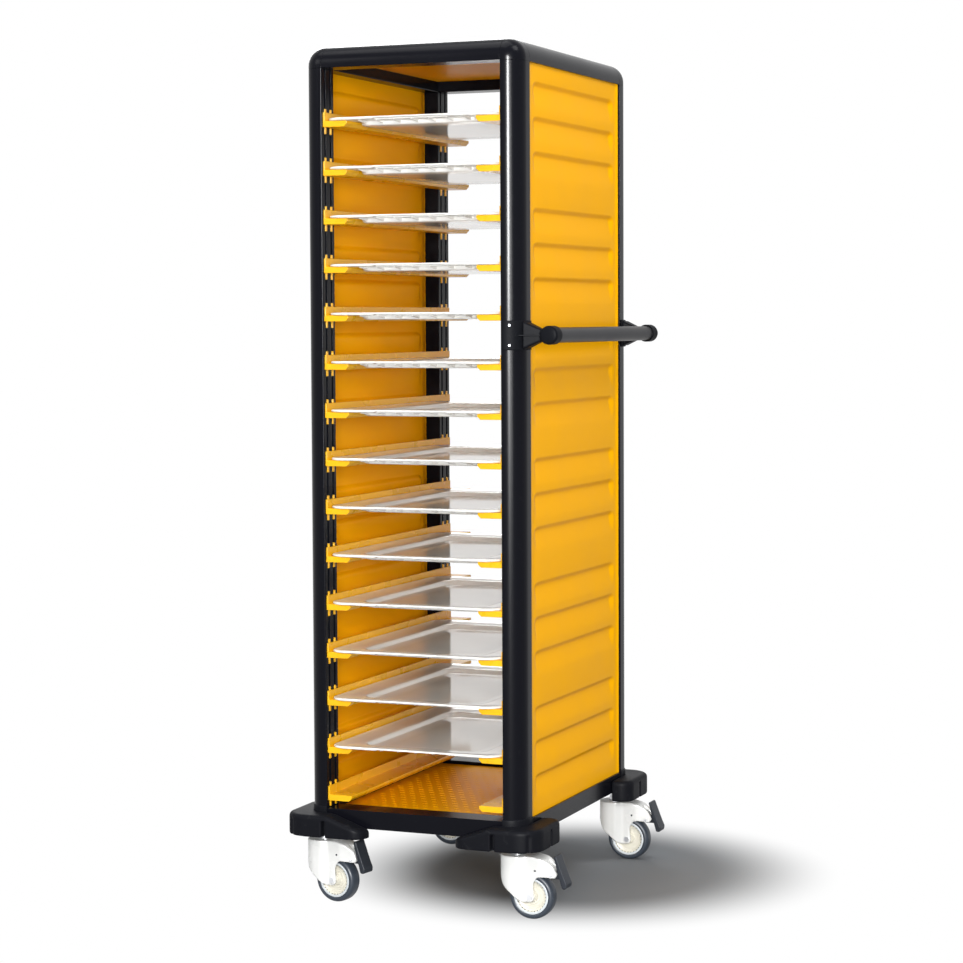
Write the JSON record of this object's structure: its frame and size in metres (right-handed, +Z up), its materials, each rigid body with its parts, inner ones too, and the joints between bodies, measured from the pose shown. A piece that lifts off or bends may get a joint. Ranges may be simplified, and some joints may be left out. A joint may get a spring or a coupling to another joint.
{
  "type": "enclosed meal tray cart",
  "caption": "Tall meal tray cart with clad yellow sides, open front and back, black post frame, moulded rails with sliding trays, side handle, corner bumpers and braked swivel casters.",
  "frame": {"origin": "middle of the footprint on the floor, the pedals and bumpers counted", "axes": "+Z up, the open front faces -Y, the handle and the pedals are on +X"},
  "size_m": [0.6453, 0.784, 1.87],
  "materials": {
    "frame_black": "black satin powder coat on the frame profiles",
    "yellow_panel": "glossy yellow formed sheet",
    "yellow_rail": "satin yellow moulded rail",
    "white_tray": "glossy white tray",
    "bumper_black": "matt black buffer",
    "bracket_black": "black moulded bracket",
    "handle_grey": "dark grey handle tube",
    "caster_white": "white moulded caster housing",
    "wheel_cream": "cream wheel disc",
    "tyre_grey": "dark blue-grey tread",
    "pedal_grey": "dark grey pedal",
    "zinc": "bright zinc-plated steel"
  },
  "bodies": {
    "cabinet": {"corner_post_front_left": "frame_black", "corner_post_front_right": "frame_black", "corner_post_rear_left": "frame_black", "corner_post_rear_right": "frame_black", "corner_bumper_front_left": "bumper_black", "corner_bumper_front_right": "bumper_black", "corner_bumper_rear_left": "bumper_black", "corner_bumper_rear_right": "bumper_black", "top_corners": "frame_black", "top_bar_front": "frame_black", "top_bar_rear": "frame_black", "top_bar_left": "frame_black", "top_bar_right": "frame_black", "bottom_bars_ends": "frame_black", "bottom_bars_sides": "frame_black", "side_panel_left": "yellow_panel", "side_panel_right": "yellow_panel", "tray_rails_left": "yellow_rail", "tray_rails_right": "yellow_rail", "top_panel": "yellow_panel", "base_panel": "yellow_panel", "handle_bracket_front": "bracket_black", "handle_bracket_rear": "bracket_black", "handle_tube": "handle_grey", "caster_mounts": "zinc"},
    "tray_01": {"tray_01": "white_tray"},
    "tray_02": {"tray_02": "white_tray"},
    "tray_03": {"tray_03": "white_tray"},
    "tray_04": {"tray_04": "white_tray"},
    "tray_05": {"tray_05": "white_tray"},
    "tray_06": {"tray_06": "white_tray"},
    "tray_07": {"tray_07": "white_tray"},
    "tray_08": {"tray_08": "white_tray"},
    "tray_09": {"tray_09": "white_tray"},
    "tray_10": {"tray_10": "white_tray"},
    "tray_11": {"tray_11": "white_tray"},
    "tray_12": {"tray_12": "white_tray"},
    "tray_13": {"tray_13": "white_tray"},
    "tray_14": {"tray_14": "white_tray"},
    "swivel_front_left": {"caster_shell_front_left": "caster_white", "caster_pins_front_left": "zinc"},
    "wheel_front_left": {"wheel_core_front_left": "wheel_cream", "tyre_front_left": "tyre_grey"},
    "pedal_front_left": {"brake_pedal_front_left": "pedal_grey"},
    "swivel_front_right": {"caster_shell_front_right": "caster_white", "caster_pins_front_right": "zinc"},
    "wheel_front_right": {"wheel_core_front_right": "wheel_cream", "tyre_front_right": "tyre_grey"},
    "pedal_front_right": {"brake_pedal_front_right": "pedal_grey"},
    "swivel_rear_left": {"caster_shell_rear_left": "caster_white", "caster_pins_rear_left": "zinc"},
    "wheel_rear_left": {"wheel_core_rear_left": "wheel_cream", "tyre_rear_left": "tyre_grey"},
    "pedal_rear_left": {"brake_pedal_rear_left": "pedal_grey"},
    "swivel_rear_right": {"caster_shell_rear_right": "caster_white", "caster_pins_rear_right": "zinc"},
    "wheel_rear_right": {"wheel_core_rear_right": "wheel_cream", "tyre_rear_right": "tyre_grey"},
    "pedal_rear_right": {"brake_pedal_rear_right": "pedal_grey"}
  },
  "joints": [
    {"name": "tray_01_slide", "type": "slide", "parent": "cabinet", "child": "tray_01", "axis": [0, 1, 0], "range_m": [-0.65, 0.65]},
    {"name": "tray_02_slide", "type": "slide", "parent": "cabinet", "child": "tray_02", "axis": [0, 1, 0], "range_m": [-0.65, 0.65]},
    {"name": "tray_03_slide", "type": "slide", "parent": "cabinet", "child": "tray_03", "axis": [0, 1, 0], "range_m": [-0.65, 0.65]},
    {"name": "tray_04_slide", "type": "slide", "parent": "cabinet", "child": "tray_04", "axis": [0, 1, 0], "range_m": [-0.65, 0.65]},
    {"name": "tray_05_slide", "type": "slide", "parent": "cabinet", "child": "tray_05", "axis": [0, 1, 0], "range_m": [-0.65, 0.65]},
    {"name": "tray_06_slide", "type": "slide", "parent": "cabinet", "child": "tray_06", "axis": [0, 1, 0], "range_m": [-0.65, 0.65]},
    {"name": "tray_07_slide", "type": "slide", "parent": "cabinet", "child": "tray_07", "axis": [0, 1, 0], "range_m": [-0.65, 0.65]},
    {"name": "tray_08_slide", "type": "slide", "parent": "cabinet", "child": "tray_08", "axis": [0, 1, 0], "range_m": [-0.65, 0.65]},
    {"name": "tray_09_slide", "type": "slide", "parent": "cabinet", "child": "tray_09", "axis": [0, 1, 0], "range_m": [-0.65, 0.65]},
    {"name": "tray_10_slide", "type": "slide", "parent": "cabinet", "child": "tray_10", "axis": [0, 1, 0], "range_m": [-0.65, 0.65]},
    {"name": "tray_11_slide", "type": "slide", "parent": "cabinet", "child": "tray_11", "axis": [0, 1, 0], "range_m": [-0.65, 0.65]},
    {"name": "tray_12_slide", "type": "slide", "parent": "cabinet", "child": "tray_12", "axis": [0, 1, 0], "range_m": [-0.65, 0.65]},
    {"name": "tray_13_slide", "type": "slide", "parent": "cabinet", "child": "tray_13", "axis": [0, 1, 0], "range_m": [-0.65, 0.65]},
    {"name": "tray_14_slide", "type": "slide", "parent": "cabinet", "child": "tray_14", "axis": [0, 1, 0], "range_m": [-0.65, 0.65]},
    {"name": "swivel_front_left_turn", "type": "hinge", "parent": "cabinet", "child": "swivel_front_left", "pos_m": [-0.25325, -0.318, 0.137], "axis": [0, 0, 1], "continuous": true},
    {"name": "wheel_front_left_spin", "type": "hinge", "parent": "swivel_front_left", "child": "wheel_front_left", "pos_m": [-0.2178, -0.32425, 0.05], "axis": [0.1736, 0.9848, 0], "continuous": true},
    {"name": "pedal_front_left_press", "type": "hinge", "parent": "swivel_front_left", "child": "pedal_front_left", "pos_m": [-0.17348, -0.33207, 0.097], "axis": [0.1736, 0.9848, 0], "range_deg": [0, 18]},
    {"name": "swivel_front_right_turn", "type": "hinge", "parent": "cabinet", "child": "swivel_front_right", "pos_m": [0.20475, -0.318, 0.137], "axis": [0, 0, 1], "continuous": true},
    {"name": "wheel_front_right_spin", "type": "hinge", "parent": "swivel_front_right", "child": "wheel_front_right", "pos_m": [0.24075, -0.318, 0.05], "axis": [0, 1, 0], "continuous": true},
    {"name": "pedal_front_right_press", "type": "hinge", "parent": "swivel_front_right", "child": "pedal_front_right", "pos_m": [0.28575, -0.318, 0.097], "axis": [0, 1, 0], "range_deg": [0, 18]},
    {"name": "swivel_rear_left_turn", "type": "hinge", "parent": "cabinet", "child": "swivel_rear_left", "pos_m": [-0.25325, 0.318, 0.137], "axis": [0, 0, 1], "continuous": true},
    {"name": "wheel_rear_left_spin", "type": "hinge", "parent": "swivel_rear_left", "child": "wheel_rear_left", "pos_m": [-0.21725, 0.318, 0.05], "axis": [0, 1, 0], "continuous": true},
    {"name": "pedal_rear_left_press", "type": "hinge", "parent": "swivel_rear_left", "child": "pedal_rear_left", "pos_m": [-0.17225, 0.318, 0.097], "axis": [0, 1, 0], "range_deg": [0, 18]},
    {"name": "swivel_rear_right_turn", "type": "hinge", "parent": "cabinet", "child": "swivel_rear_right", "pos_m": [0.20475, 0.318, 0.137], "axis": [0, 0, 1], "continuous": true},
    {"name": "wheel_rear_right_spin", "type": "hinge", "parent": "swivel_rear_right", "child": "wheel_rear_right", "pos_m": [0.24075, 0.318, 0.05], "axis": [0, 1, 0], "continuous": true},
    {"name": "pedal_rear_right_press", "type": "hinge", "parent": "swivel_rear_right", "child": "pedal_rear_right", "pos_m": [0.28575, 0.318, 0.097], "axis": [0, 1, 0], "range_deg": [0, 18]}
  ]
}
